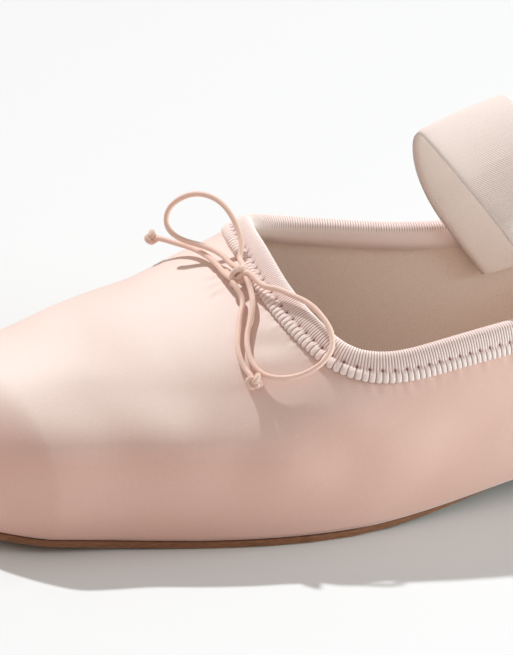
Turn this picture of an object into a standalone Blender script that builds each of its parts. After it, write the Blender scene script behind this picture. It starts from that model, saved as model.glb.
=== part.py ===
"""Ballet flat in satin: left shoe, instep strap and drawstring bow.

Lengths are in metres.  +Z is up, the toe points along -X and the outer
side of the left foot is -Y.  The origin is on the floor, under the middle
of the heel block.

The last is the form that every leather and satin piece is cut from.  A
place on it is given by two numbers.  Round runs from the middle of the heel
(0) to the middle of the toe.  Across runs from the outer feather line (-1)
over the crown of the last (0) to the inner feather line (+1).
"""
from math import pi

import bpy
import bmesh
import numpy as np
from mathutils import Vector

# Main sizes of the shoe
SHOE_LENGTH = 0.250
BALL_WIDTH = 0.079
INSTEP_HEIGHT = 0.048
HEEL_HEIGHT = 0.0088
TOE_SPRING = 0.0030

# The last
HEEL_CENTRE = 0.027
SIDE_SWELL = 0.0028
SWELL_HEIGHT = 0.016
HEEL_ROUND_SHARE = 0.123
TOE_ROUND_SHARE = 0.085
TOE_CORNER = 0.0160
TOE_BOW = 0.030
HEEL_TUCK = 0.003
HEEL_GRIP = 0.0045
GRIP_STARTS = 0.018
GRIP_HEIGHT = 0.040

# The last's own shares: of the length, of a section's rise
HEEL_CURVE_END_SHARE = 0.22
TOE_BOW_START_SHARE = 0.80
LEAN_SHARE = 0.25
SWELL_SHARE = 0.30

# Thickness of the pieces and the space between them
UPPER_WALL = 0.0016
FOOT_FOLLOWS_RIM = 0.65
SOLE_THICKNESS = 0.0017
INSOLE_THICKNESS = 0.0020
INSOLE_CLEARANCE = 0.0008
INSOLE_EDGE_ROUND = 0.0006
INSOLE_ROUND_STARTS = 0.7
PIECE_GAP = 0.0003
EDGE_ROUND = 0.0004

# Binding, strap and cord
BINDING_OUTSIDE = 0.0060
BINDING_INSIDE = 0.0050
BINDING_THICKNESS = 0.0009
BINDING_GAP = 0.0006
BINDING_ROUND = 0.7
STRAP_THICKNESS = 0.0012
STRAP_SETTLE = 0.0038
CORD_RADIUS = 0.00068
CORD_STEP = 4.6

# Heel block
HEEL_BLOCK_END_SHARE = 0.212
HEEL_BLOCK_TAPER = 0.0010
HEEL_BREAST_HOLLOW = 0.0020
HEEL_EDGE_SHARE = 0.06

# Sections of the last: widths and crown are shares of the ball width,
# the height is a share of the instep height, full is the roundness
# station, outer, inner, height, crown, outer_full, inner_full
SECTIONS = (
    (0.000, .373, .373, 1.25, .000, 2.2, 2.2),
    (0.079, .380, .368, 1.37, .000, 2.2, 2.2),
    (0.157, .390, .366, 1.50, .010, 2.2, 2.2),
    (0.256, .390, .348, 1.64, .035, 2.2, 2.2),
    (0.354, .400, .316, 1.70, .060, 2.2, 2.2),
    (0.453, .441, .315, 1.60, .100, 2.1, 2.5),
    (0.551, .492, .378, 1.36, .165, 2.0, 2.9),
    (0.630, .514, .450, 1.14, .200, 2.0, 3.1),
    (0.689, .502, .487, 1.01, .195, 2.0, 2.9),
    (0.768, .450, .487, 0.88, .165, 2.1, 2.6),
    (0.846, .389, .437, 0.80, .110, 2.2, 2.6),
    (0.915, .358, .380, 0.72, .050, 2.3, 2.6),
    (1.00, .325, .335, 0.62, .000, 2.4, 2.6),
)

# Height of the sole's tread over the floor
# station, share of the heel height, share of the toe spring
TREAD = (
    (0.000, 1.000, 0.00),
    (0.098, 1.000, 0.00),
    (0.197, 0.985, 0.00),
    (0.295, 0.870, 0.00),
    (0.394, 0.620, 0.00),
    (0.492, 0.280, 0.00),
    (0.571, 0.050, 0.00),
    (0.630, -.020, 0.00),
    (0.689, -.010, -.01),
    (0.748, 0.000, -.02),
    (0.807, 0.000, 0.10),
    (0.886, 0.000, 0.38),
    (1.00, 0.000, 1.00),
)

# Topline: from the back of the heel along the outer side, across the
# throat, and back along the inner side
# station, across
TOPLINE = (
    (0.000, -.270),
    (0.020, -.365),
    (0.049, -.445),
    (0.098, -.515),
    (0.197, -.575),
    (0.295, -.600),
    (0.394, -.600),
    (0.472, -.587),
    (0.531, -.577),
    (0.581, -.560),
    (0.612, -.515),
    (0.632, -.425),
    (0.645, -.300),
    (0.6490, -.150),
    (0.6480, 0.000),
    (0.6450, 0.130),
    (0.6370, 0.210),
    (0.6180, 0.275),
    (0.5870, 0.335),
    (0.5450, 0.400),
    (0.500, 0.465),
    (0.450, 0.520),
    (0.374, 0.562),
    (0.276, 0.578),
    (0.197, 0.562),
    (0.098, 0.515),
    (0.049, 0.445),
    (0.020, 0.365),
    (0.000, 0.270),
)
OUTER_CORNER = 10
INNER_CORNER = 17
ACROSS_WEIGHT = 0.4

# Round values at which the soles begin, behind the middle of the heel
SOLE_STARTS = 0.012
INSOLE_STARTS = 0.014

# How far the outsole shows outside the feather line (in metres)
# station, outer, inner
SOLE_LIP = (
    (0.000, 0.0000, 0.0000),
    (0.197, -.0008, -.0010),
    (0.315, -.0024, -.0028),
    (0.453, -.0026, -.0030),
    (0.531, -.0008, -.0014),
    (0.610, 0.0004, 0.0000),
    (0.708, 0.0005, 0.0004),
    (1.00, 0.0005, 0.0005),
)

# Instep strap: its two edges where it crosses the last
# across, front station, rear station
STRAP_EDGES = (
    (-.700, 0.372, 0.287),
    (-.620, 0.392, 0.307),
    (-.500, 0.421, 0.336),
    (-.408, 0.443, 0.356),
    (-.317, 0.460, 0.373),
    (-.200, 0.475, 0.389),
    (0.000, 0.484, 0.399),
    (0.200, 0.478, 0.393),
    (0.400, 0.458, 0.372),
    (0.520, 0.437, 0.351),
    (0.620, 0.417, 0.332),
    (0.700, 0.400, 0.315),
)
STRAP_LEAVES = 0.34
STRAP_SETTLED = 0.50

# The bow, in metres: forward is towards the toe from the heel's middle,
# inward is towards the inner side
# forward, inward, up
KNOT_PLACE = (.1437, -.0014, .0532)
KNOT_HALF_SIZE = (.0026, .0022, .0018)
NEAR_LOOP_ROUTE = (
    (.1425, -.0039, .0531),
    (.1403, -.0084, .0530),
    (.1378, -.0117, .0531),
    (.1351, -.0157, .0528),
    (.1324, -.0196, .0521),
    (.1304, -.0242, .0503),
    (.1295, -.0280, .0480),
    (.1305, -.0315, .0451),
    (.1333, -.0330, .0427),
    (.1375, -.0329, .0405),
    (.1421, -.0320, .0396),
    (.1459, -.0297, .0398),
    (.1477, -.0265, .0410),
    (.1480, -.0224, .0431),
    (.1467, -.0177, .0455),
    (.1446, -.0139, .0479),
    (.1432, -.0103, .0501),
    (.1427, -.0067, .0516),
    (.1433, -.0039, .0524),
)
FAR_LOOP_ROUTE = (
    (.1429, .0012, .0535),
    (.1415, .0056, .0540),
    (.1403, .0085, .0560),
    (.1400, .0120, .0587),
    (.1411, .0160, .0619),
    (.1434, .0200, .0640),
    (.1469, .0230, .0645),
    (.1507, .0255, .0627),
    (.1536, .0260, .0597),
    (.1542, .0248, .0563),
    (.1520, .0212, .0541),
    (.1485, .0175, .0536),
    (.1460, .0134, .0536),
    (.1444, .0084, .0534),
    (.1437, .0049, .0530),
    (.1437, .0013, .0531),
)
NEAR_TAIL_ROUTE = (
    (.1445, -.0032, .0516),
    (.1448, -.0039, .0510),
    (.1449, -.0074, .0496),
    (.1467, -.0119, .0476),
    (.1484, -.0161, .0458),
    (.1499, -.0202, .0439),
    (.1503, -.0235, .0421),
    (.1497, -.0268, .0403),
    (.1494, -.0280, .0399),
)
FAR_TAIL_ROUTE = (
    (.1464, -.0005, .0524),
    (.1468, -.0004, .0523),
    (.1465, .0098, .0518),
    (.1475, .0158, .0516),
    (.1494, .0217, .0512),
    (.1524, .0270, .0508),
    (.1546, .0300, .0507),
)
NEAR_TAIL_KNOT = (.1488, -.0304, .0389)
FAR_TAIL_KNOT = (.1562, .0320, .0503)
TAIL_KNOT_HALF_SIZE = (.0017, .0019, .0016)

# How finely the pieces are built
WALL_STEPS_LONG = 31
WALL_STEPS_HIGH = 8
THROAT_STEPS = 16
VAMP_STEPS = 17
SOLE_STEPS = 38
INSOLE_STEPS = 30
SOLE_STEPS_ACROSS = 6
SOLE_END_EASE = 0.07
VAMP_EASE = 0.25
STRAP_STEPS = 32
STRAP_STEPS_WIDE = 3
HEEL_STEPS = 12
HEEL_STEPS_ACROSS = 4

# Ends of the round scale
HEEL_TURN = HEEL_ROUND_SHARE * pi / 2
TOE_START = HEEL_TURN + 1 - TOE_ROUND_SHARE - HEEL_ROUND_SHARE
ROUND_END = TOE_START + TOE_ROUND_SHARE * pi / 2


def smooth_table(places, values, wanted):
    """Read a table as a smooth curve through its rows."""
    places = np.asarray(places, float)
    values = np.asarray(values, float)
    rows = len(places)
    step = np.diff(places)
    system = np.eye(rows)
    right = np.zeros(rows)
    for i in range(1, rows - 1):
        system[i, i - 1:i + 2] = step[i - 1], 2 * (step[i - 1] + step[i]), step[i]
        rise = np.diff(values)[i - 1:i + 1] / step[i - 1:i + 1]
        right[i] = 6 * (rise[1] - rise[0])
    bend = np.linalg.solve(system, right)
    wanted = np.asarray(wanted, float)
    k = np.clip(np.searchsorted(places, wanted) - 1, 0, rows - 2)
    t = wanted - places[k]
    slope = (values[k + 1] - values[k]) / step[k]
    slope = slope - step[k] * (2 * bend[k] + bend[k + 1]) / 6
    curve = bend[k] / 2 + t * (bend[k + 1] - bend[k]) / (6 * step[k])
    return values[k] + t * (slope + t * curve)


def column(table, k, wanted):
    """Read column k of a table whose first column is the place."""
    return smooth_table([row[0] for row in table], [row[k] for row in table], wanted)


def station_of(around):
    """Share of the shoe's length, from heel to toe, at a round value."""
    around = np.asarray(around, float)
    heel = HEEL_ROUND_SHARE * (1 - np.cos(np.clip(around / HEEL_ROUND_SHARE, 0, pi / 2)))
    turn = np.clip((around - TOE_START) / TOE_ROUND_SHARE, 0, pi / 2)
    straight = np.clip(around, HEEL_TURN, TOE_START) - HEEL_TURN
    return heel + straight + TOE_ROUND_SHARE * np.sin(turn)


def round_of(station):
    """Round value at a share of the shoe's length."""
    station = np.asarray(station, float)
    heel = HEEL_ROUND_SHARE * np.arccos(np.clip(1 - station / HEEL_ROUND_SHARE, 0, 1))
    toe = TOE_ROUND_SHARE * np.arcsin(np.clip((station - 1) / TOE_ROUND_SHARE + 1, 0, 1))
    return heel + np.clip(station, HEEL_ROUND_SHARE, 1 - TOE_ROUND_SHARE) - HEEL_ROUND_SHARE + toe


def tread_height(station):
    """Height of the sole's underside, never under the floor."""
    lift = HEEL_HEIGHT * column(TREAD, 1, station)
    spring = TOE_SPRING * column(TREAD, 2, station)
    return np.maximum(lift + spring, 0)


def seat_height(station):
    """Height of the feather line, where the upper stands on the sole."""
    return tread_height(station) + SOLE_THICKNESS + PIECE_GAP


def section_curve(w, half, swell, crown, low, top, side, full):
    """One side of a section: w runs from the feather line (0) to the crown (1)."""
    lean = np.clip(w / LEAN_SHARE, 0, 1)
    arch = np.clip((w - LEAN_SHARE) / (1 - LEAN_SHARE), 0, 1) * pi / 2
    rise = np.maximum(np.sin(arch), 0) ** (2 / full)
    run = np.maximum(np.cos(arch), 0) ** (2 / full)
    y = crown + (side * (half + swell) - crown) * run - side * swell * (1 - lean) ** 2
    z = low * lean + (top - low) * rise
    return y, z


def section_steps():
    """Values of w at which a section is measured, closest round its shoulder."""
    share = np.linspace(0, 1, 41)
    shoulder = 0.15 * (1 - LEAN_SHARE)
    return np.unique(np.concatenate([
        LEAN_SHARE * share,
        LEAN_SHARE + shoulder * share ** 2,
        LEAN_SHARE + shoulder + (1 - LEAN_SHARE - shoulder) * share,
    ]))


def from_heel(station, y, z):
    """Distance from the back of the last, with its bowed toe and curved heel."""
    bow = TOE_BOW * np.clip((station - TOE_BOW_START_SHARE) / (1 - TOE_BOW_START_SHARE), 0, 1) ** 2
    back = np.clip(1 - station / HEEL_CURVE_END_SHARE, 0, 1) ** 2
    tuck = HEEL_TUCK * np.clip(1 - z / GRIP_STARTS, 0, 1) ** 2
    grip = HEEL_GRIP * np.clip((z - GRIP_STARTS) / GRIP_HEIGHT, 0, 2) ** 2
    return station * SHOE_LENGTH - bow * (y / (BALL_WIDTH / 2)) ** 2 + back * (tuck + grip)


def last_point(around, across):
    """Points on the last."""
    around, across = np.broadcast_arrays(
        np.asarray(around, float), np.asarray(across, float))
    shape = around.shape
    around, across = around.ravel(), across.ravel()
    across = np.where(around < 0, -across, across)
    around = np.abs(around)
    station = station_of(around)
    outer, inner, height, crown, outer_full, inner_full = (
        column(SECTIONS, k, station) for k in range(1, 7))
    heel = np.sin(np.clip(around / HEEL_ROUND_SHARE, 0, pi / 2))
    turn = np.clip((around - TOE_START) / TOE_ROUND_SHARE, 0, pi / 2)
    corner = TOE_CORNER * (1 - np.cos(turn))
    top = height * INSTEP_HEIGHT * np.cos(turn)
    parts = (
        np.where(across < 0, outer, inner) * BALL_WIDTH * heel - corner,
        SIDE_SWELL * heel * np.cos(turn),
        crown * BALL_WIDTH * heel,
        np.minimum(SWELL_SHARE * top, SWELL_HEIGHT),
        top,
        np.where(across < 0, -1., 1.),
        np.where(across < 0, outer_full, inner_full),
    )
    stretched = tuple(part[:, None] for part in parts)
    w = section_steps()
    y, z = section_curve(w[None, :], *stretched)
    lengths = np.hypot(np.diff(y, axis=1), np.diff(z, axis=1))
    walked = np.concatenate([np.zeros((len(y), 1)), np.cumsum(lengths, 1)], 1)
    goal = (1 - np.abs(across)) * walked[:, -1]
    k = np.clip((walked < goal[:, None]).sum(1) - 1, 0, len(w) - 2)
    row = np.arange(len(k))
    part_way = (goal - walked[row, k]) / np.maximum(walked[row, k + 1] - walked[row, k], 1e-12)
    y, z = section_curve(w[k] + part_way * (w[k + 1] - w[k]), *parts)
    x = HEEL_CENTRE - from_heel(station, y, z)
    points = np.stack([x, y, z + seat_height(station)], -1)
    return points.reshape(shape + (3,))


def unit(vectors):
    """Vectors of length one."""
    length = np.linalg.norm(vectors, axis=-1, keepdims=True)
    return vectors / np.maximum(length, 1e-12)


def last_frame(around, across):
    """Slopes of the last along round and across, and its outward direction."""
    near = 1e-4
    along = (last_point(around + near, across) - last_point(around - near, across)) / (2 * near)
    over = (last_point(around, across + near) - last_point(around, across - near)) / (2 * near)
    return along, over, unit(np.cross(over, along))


def walk(around, across, way, distance, steps):
    """Go a distance over the last in a direction, in short steps."""
    for _ in range(steps):
        along, over, _out = last_frame(around, across)
        slopes = np.stack([along, over], -1)
        aim = unit(way) * (distance / steps)
        move = np.einsum("nij,nj->ni", np.linalg.pinv(slopes), aim)
        around = around + move[:, 0]
        across = across + move[:, 1]
    return around, across


def topline_rows():
    """The topline's rows and where each lies along it, two rows past each end."""
    around = np.array([float(round_of(row[0])) for row in TOPLINE])
    across = np.array([row[1] for row in TOPLINE])
    around = np.concatenate([-around[2:0:-1], around, -around[-2:-4:-1]])
    across = np.concatenate([-across[-3:-1], across, -across[1:3]])
    gap = np.hypot(np.diff(around), ACROSS_WEIGHT * np.diff(across))
    place = np.concatenate([[0], np.cumsum(gap)])
    return around, across, (place - place[2]) / (place[-3] - place[2])


def topline_at(shares):
    """Round and across values on the topline, shares 0 to 1 along it."""
    around, across, place = topline_rows()
    return smooth_table(place, around, shares), smooth_table(place, across, shares)


def topline_share(row):
    """Share along the topline at which a row of its table lies."""
    return topline_rows()[2][row + 2]


def even_shares(points_at, count, start=0.0, end=1.0):
    """Shares at which a curve is cut into pieces of even length."""
    fine = np.linspace(start, end, 1201)
    points = points_at(fine)
    walked = np.concatenate([[0], np.cumsum(np.linalg.norm(np.diff(points, axis=0), axis=1))])
    return np.interp(np.linspace(0, walked[-1], count + 1), walked, fine)


def topline_point(shares):
    """Points on the topline."""
    return last_point(*topline_at(shares))


def rim_shares():
    """Shares of the rim's corners: outer side, throat and inner side."""
    outer, inner = topline_share(OUTER_CORNER), topline_share(INNER_CORNER)
    return (
        even_shares(topline_point, WALL_STEPS_LONG, 0, outer),
        even_shares(topline_point, THROAT_STEPS, outer, inner),
        even_shares(topline_point, WALL_STEPS_LONG, inner, 1),
    )


def new_material(name, colour, roughness, sheen=0.0):
    """A plain finish in one colour."""
    material = bpy.data.materials.new(name)
    material.use_nodes = True
    shader = material.node_tree.nodes["Principled BSDF"]
    shader.inputs["Base Color"].default_value = (*colour, 1.0)
    shader.inputs["Roughness"].default_value = roughness
    shader.inputs["Metallic"].default_value = 0.0
    shader.inputs["Sheen Weight"].default_value = sheen
    return material


def finish_piece(name, sheet, material, smooth_angle=40):
    """Turn a worked mesh into one named piece."""
    bmesh.ops.remove_doubles(sheet, verts=sheet.verts, dist=1e-6)
    bmesh.ops.recalc_face_normals(sheet, faces=sheet.faces)
    mesh = bpy.data.meshes.new(name)
    sheet.to_mesh(mesh)
    sheet.free()
    mesh.materials.append(material)
    mesh.shade_smooth()
    mesh.set_sharp_from_angle(angle=np.radians(smooth_angle))
    piece = bpy.data.objects.new(name, mesh)
    bpy.context.scene.collection.objects.link(piece)
    return piece


def add_grid(sheet, points, closed=False):
    """Lay a net of four-sided faces over rows of points."""
    rows = [[sheet.verts.new(point) for point in row] for row in points]
    count = len(rows[0])
    for first, second in zip(rows[:-1], rows[1:]):
        for k in range(count if closed else count - 1):
            n = (k + 1) % count
            sheet.faces.new((first[k], first[n], second[n], second[k]))
    return rows


def solid_between(sheet, under, over):
    """A slab between two nets of points of the same size."""
    rows = [add_grid(sheet, under), add_grid(sheet, over)]
    low, high = rows
    rim_low = low[0] + [r[-1] for r in low[1:-1]] + low[-1][::-1] + [r[0] for r in low[-2:0:-1]]
    rim_high = (high[0] + [r[-1] for r in high[1:-1]] + high[-1][::-1]
                + [r[0] for r in high[-2:0:-1]])
    for k in range(len(rim_low)):
        n = (k + 1) % len(rim_low)
        sheet.faces.new((rim_low[k], rim_low[n], rim_high[n], rim_high[k]))


def sole_rungs(first, last, count, lip, across=SOLE_STEPS_ACROSS):
    """Rungs over the bottom of the last, shifted outwards by a lip."""
    part = np.linspace(0, 1, count + 1)
    around = first + (last - first) * (part - SOLE_END_EASE * np.sin(2 * pi * part))
    station = station_of(around)
    side = np.linspace(-1, 1, across + 1)
    outer = last_point(around, np.full(count + 1, -1.))
    inner = last_point(around, np.full(count + 1, 1.))
    near = 2e-4
    shifts = []
    for edge, turn in ((-1., -1), (1., 1)):
        ahead = last_point(np.minimum(around + near, ROUND_END - near), np.full(count + 1, edge))
        behind = last_point(np.minimum(around, ROUND_END - near) - near, np.full(count + 1, edge))
        run = unit(ahead - behind)
        out = np.stack([run[:, 1], -run[:, 0], np.zeros(count + 1)], -1) * turn
        if last == ROUND_END:
            out[-1] = (-1, 0, 0)
        shifts.append(out * lip(station, edge)[:, None])
    share = (side[None, :, None] + 1) / 2
    points = outer[:, None] * (1 - share) + inner[:, None] * share
    points[..., 0] = HEEL_CENTRE - from_heel(station[:, None], points[..., 1], 0)
    points = points + shifts[0][:, None] * (1 - share) + shifts[1][:, None] * share
    return points, station


def make_upper(material):
    """Satin upper: one shell round the last, open on top and underneath."""
    outer_side, throat, inner_side = rim_shares()
    sheet = bmesh.new()
    corners = []
    for shares, edge in ((outer_side, -1.), (inner_side[::-1], 1.)):
        top_round, top_across = topline_at(shares)
        even = np.linspace(0, top_round[-1], len(shares))
        foot_round = even * (1 - FOOT_FOLLOWS_RIM) + top_round * FOOT_FOLLOWS_RIM
        part = np.linspace(0, 1, WALL_STEPS_HIGH + 1)[None, :]
        around = foot_round[:, None] * (1 - part) + top_round[:, None] * part
        across = edge * (1 - part) + top_across[:, None] * part
        add_grid(sheet, last_point(around, across))
        corners.append((around[-1], across[-1]))
    throat_round, throat_across = topline_at(throat)
    rear_round = np.concatenate(
        [corners[0][0], throat_round[1:-1], corners[1][0][::-1]])
    rear_across = np.concatenate(
        [corners[0][1], throat_across[1:-1], corners[1][1][::-1]])
    front_across = np.linspace(-1, 1, len(rear_round))
    part = np.linspace(0, 1, VAMP_STEPS + 1)[:, None]
    part = part + VAMP_EASE * part * (1 - part)
    around = rear_round * (1 - part) + ROUND_END * part
    across = rear_across * (1 - part) + front_across * part
    add_grid(sheet, last_point(around, across))
    upper = finish_piece("upper", sheet, material)
    thick = upper.modifiers.new("wall", "SOLIDIFY")
    thick.thickness = UPPER_WALL
    thick.offset = -1
    thick.use_even_offset = True
    thick.use_quality_normals = True
    return upper


def sole_lip(inset):
    """The outsole's lip at a station and side, drawn in by an inset."""
    def read(station, edge):
        return column(SOLE_LIP, 1 if edge < 0 else 2, station) - inset
    return read


def board_lip(inset):
    """The insole's edge, inside the wall of the upper."""
    def read(station, edge):
        return np.full(len(station), -UPPER_WALL - INSOLE_CLEARANCE - inset)
    return read


def make_outsole(material):
    """Thin outsole with the arch, the toe spring and a small lip."""
    levels = ((0, EDGE_ROUND), (EDGE_ROUND, 0), (SOLE_THICKNESS - EDGE_ROUND, 0),
              (SOLE_THICKNESS, EDGE_ROUND))
    nets = []
    for height, inset in levels:
        net, station = sole_rungs(SOLE_STARTS, ROUND_END, SOLE_STEPS, sole_lip(inset))
        net[..., 2] = tread_height(station)[:, None] + height
        nets.append(net)
    return layered_plate("outsole", nets, material)


def layered_plate(name, nets, material):
    """A plate from nets of points stacked from the bottom up."""
    sheet = bmesh.new()
    add_grid(sheet, nets[0])
    add_grid(sheet, nets[-1])
    rims = [np.concatenate([n[0], n[1:-1, -1], n[-1][::-1], n[-2:0:-1, 0]]) for n in nets]
    add_grid(sheet, rims, closed=True)
    return finish_piece(name, sheet, material)


def make_insole(material):
    """Insole board lying inside the wall of the upper."""
    levels = ((0, 0), (INSOLE_THICKNESS * INSOLE_ROUND_STARTS, 0),
              (INSOLE_THICKNESS, INSOLE_EDGE_ROUND))
    nets = []
    for height, inset in levels:
        net, station = sole_rungs(INSOLE_STARTS, ROUND_END, INSOLE_STEPS, board_lip(inset))
        net[..., 2] = seat_height(station)[:, None] + height
        nets.append(net)
    return layered_plate("insole", nets, material)


def make_heel(material):
    """Low heel block with a flat tread and a slightly hollow breast."""
    last = float(round_of(HEEL_BLOCK_END_SHARE))
    nets = []
    levels = ((0, HEEL_BLOCK_TAPER + EDGE_ROUND), (HEEL_EDGE_SHARE, HEEL_BLOCK_TAPER),
              (1, EDGE_ROUND))
    side = np.linspace(-1, 1, HEEL_STEPS_ACROSS + 1)
    hollow = HEEL_BREAST_HOLLOW * (1 - side ** 2)
    for share, inset in levels:
        net, station = sole_rungs(
            SOLE_STARTS, last, HEEL_STEPS, sole_lip(inset), HEEL_STEPS_ACROSS)
        net[-1, :, 0] += hollow + inset
        net[..., 2] = (tread_height(station)[:, None] - PIECE_GAP) * share
        nets.append(net)
    return layered_plate("heel", nets, material)


def make_binding(material):
    """Folded tape over the topline, outside and inside the wall."""
    shares = np.concatenate([side[:-1] for side in rim_shares()])
    around, across = topline_at(shares)
    near = 1e-3
    ahead, behind = topline_point(shares + near), topline_point(shares - near)
    out = last_frame(around, across)[2]
    down = unit(np.cross(out, unit(ahead - behind)))
    space, thick, full = BINDING_GAP, BINDING_THICKNESS, BINDING_ROUND
    inner = -UPPER_WALL - space
    # depth down from the rim, height outside the wall
    profile = (
        (BINDING_OUTSIDE, space), (BINDING_OUTSIDE, space + thick * full),
        (BINDING_OUTSIDE - BINDING_GAP, space + thick), (BINDING_OUTSIDE / 2, space + thick),
        (0, space + thick), (-space - thick * full, space + thick * (1 - full)),
        (-space - thick, (space + inner) / 2),
        (-space - thick * full, inner - thick * (1 - full)),
        (0, inner - thick), (BINDING_INSIDE / 2, inner - thick),
        (BINDING_INSIDE, inner - thick), (BINDING_INSIDE, inner),
        (BINDING_INSIDE / 2, inner), (0, inner), (-space, inner), (-space, space),
        (0, space), (BINDING_OUTSIDE / 2, space),
    )
    rings = []
    for depth, height in profile:
        if depth > 0:
            spot = walk(around, across, down, depth, 4)
            points = last_point(*spot) + height * last_frame(*spot)[2]
        else:
            points = last_point(around, across) + height * out + depth * down
        rings.append(points)
    sheet = bmesh.new()
    add_grid(sheet, rings + [rings[0]], closed=True)
    return finish_piece("binding", sheet, material, 60)


def make_strap(material):
    """Elastic strap over the instep, its ends inside the walls."""
    edges = np.array(STRAP_EDGES)
    across = np.linspace(edges[0, 0], edges[-1, 0], STRAP_STEPS + 1)
    front = round_of(smooth_table(edges[:, 0], edges[:, 1], across))
    rear = round_of(smooth_table(edges[:, 0], edges[:, 2], across))
    share = np.linspace(0, 1, STRAP_STEPS_WIDE + 1)
    around = front[:, None] * (1 - share) + rear[:, None] * share
    sides = np.repeat(across[:, None], STRAP_STEPS_WIDE + 1, 1)
    settle = np.clip((np.abs(sides) - STRAP_LEAVES) / (STRAP_SETTLED - STRAP_LEAVES), 0, 1)
    settle = STRAP_SETTLE * settle ** 2 * (3 - 2 * settle)
    out = last_frame(around.ravel(), sides.ravel())[2].reshape(around.shape + (3,))
    middle = last_point(around, sides)
    under = middle - out * (settle + STRAP_THICKNESS)[..., None]
    over = middle - out * settle[..., None]
    sheet = bmesh.new()
    solid_between(sheet, under, over)
    return finish_piece("strap", sheet, material)


def place(spot):
    """A spot given as forward, inward and up, as a point."""
    forward, inward, up = spot
    return np.array([-forward, inward, up])


def make_cord(name, route, material):
    """Round cord through its route's points."""
    spots = np.array([place(spot) for spot in route])
    walked = np.concatenate([[0], np.cumsum(np.linalg.norm(np.diff(spots, axis=0), axis=1))])
    count = int(walked[-1] / (CORD_RADIUS * CORD_STEP)) + 2
    wanted = np.linspace(0, walked[-1], count)
    line = np.stack([smooth_table(walked, spots[:, k], wanted) for k in range(3)], -1)
    curve = bpy.data.curves.new(name, "CURVE")
    curve.dimensions = "3D"
    curve.bevel_depth = CORD_RADIUS
    curve.bevel_resolution = 2
    curve.use_fill_caps = True
    spline = curve.splines.new("POLY")
    spline.points.add(count - 1)
    for point, spot in zip(spline.points, line):
        point.co = (*spot, 1.0)
    spline.use_smooth = True
    curve.materials.append(material)
    cord = bpy.data.objects.new(name, curve)
    bpy.context.scene.collection.objects.link(cord)
    return cord


def make_cord_knot(name, spot, half_size, material):
    """Pulled-tight knot of the cord as a small rounded lump."""
    sheet = bmesh.new()
    bmesh.ops.create_uvsphere(sheet, u_segments=12, v_segments=8, radius=1.0)
    bmesh.ops.scale(sheet, verts=sheet.verts, vec=Vector(half_size))
    bmesh.ops.translate(sheet, verts=sheet.verts, vec=Vector(place(spot)))
    return finish_piece(name, sheet, material, 80)


def build_ballet_flat():
    """Build every piece of the shoe."""
    for thing in list(bpy.data.objects):
        bpy.data.objects.remove(thing)
    satin = new_material("blush_satin", (.791, .552, .491), .42, .3)
    tape = new_material("ribbed_tape", (.730, .552, .503), .70)
    elastic = new_material("pale_elastic", (.904, .776, .701), .75)
    leather = new_material("brown_sole_leather", (.225, .095, .045), .60)
    board = new_material("pale_insole_leather", (.787, .651, .539), .65)
    cord = new_material("salmon_cord", (.752, .456, .381), .60)
    make_outsole(leather)
    make_heel(leather)
    make_upper(satin)
    make_insole(board)
    make_binding(tape)
    make_strap(elastic)
    make_cord_knot("bow_knot", KNOT_PLACE, KNOT_HALF_SIZE, cord)
    make_cord("bow_loop_near", NEAR_LOOP_ROUTE, cord)
    make_cord("bow_loop_far", FAR_LOOP_ROUTE, cord)
    make_cord("bow_tail_near", NEAR_TAIL_ROUTE, cord)
    make_cord("bow_tail_far", FAR_TAIL_ROUTE, cord)
    make_cord_knot("tail_knot_near", NEAR_TAIL_KNOT, TAIL_KNOT_HALF_SIZE, cord)
    make_cord_knot("tail_knot_far", FAR_TAIL_KNOT, TAIL_KNOT_HALF_SIZE, cord)


build_ballet_flat()
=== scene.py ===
# %% [markdown]
# # A ballet flat in blush satin
# The real shoe is a satin upper pulled over a last, a ribbed tape folded over
# its rim, an elastic across the instep, a thin leather sole and a small bow.
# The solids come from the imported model, and this script dresses them.

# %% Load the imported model
from math import pi

import bmesh
import bpy
import numpy as np
from mathutils import Matrix, Vector


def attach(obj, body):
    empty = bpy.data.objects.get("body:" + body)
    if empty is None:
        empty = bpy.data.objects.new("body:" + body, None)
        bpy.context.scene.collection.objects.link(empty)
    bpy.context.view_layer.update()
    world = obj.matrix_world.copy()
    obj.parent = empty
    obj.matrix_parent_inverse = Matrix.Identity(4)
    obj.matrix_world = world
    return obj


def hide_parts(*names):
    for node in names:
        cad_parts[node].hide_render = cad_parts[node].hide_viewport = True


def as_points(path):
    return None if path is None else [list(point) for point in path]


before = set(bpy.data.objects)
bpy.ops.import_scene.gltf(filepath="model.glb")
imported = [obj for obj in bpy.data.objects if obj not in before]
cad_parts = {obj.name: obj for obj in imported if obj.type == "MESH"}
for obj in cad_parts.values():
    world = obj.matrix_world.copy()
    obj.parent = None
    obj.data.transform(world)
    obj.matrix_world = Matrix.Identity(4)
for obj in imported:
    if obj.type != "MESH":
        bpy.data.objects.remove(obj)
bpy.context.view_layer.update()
print("nodes:", sorted(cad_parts))

# %% [markdown]
# The photograph looks down on the outer side of a left shoe from about 0.9 m
# with a long lens. A matrix made of the camera's right, up and back directions
# sets it in one step, which is easier to check than three turns.

# %% Camera
camera_data = bpy.data.cameras.new("studio_camera")
camera_data.lens = 206.3
camera = bpy.data.objects.new("studio_camera", camera_data)
bpy.context.scene.collection.objects.link(camera)
camera_right = Vector((0.95630, -0.29237, 0.0))
camera_up = Vector((0.12356, 0.40415, 0.90630))
camera_back = Vector((-0.26498, -0.86670, 0.42262))
placed = Matrix((camera_right, camera_up, camera_back)).transposed().to_4x4()
placed.translation = (-0.3785, -0.7831, 0.4198)
camera.matrix_world = placed
bpy.context.scene.camera = camera
print("camera lens", camera_data.lens)

# %% [markdown]
# The sizes and tables of the shoe are those of the solid model. Lengths are in
# metres, and a station is a share of the shoe's length from heel to toe.

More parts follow.
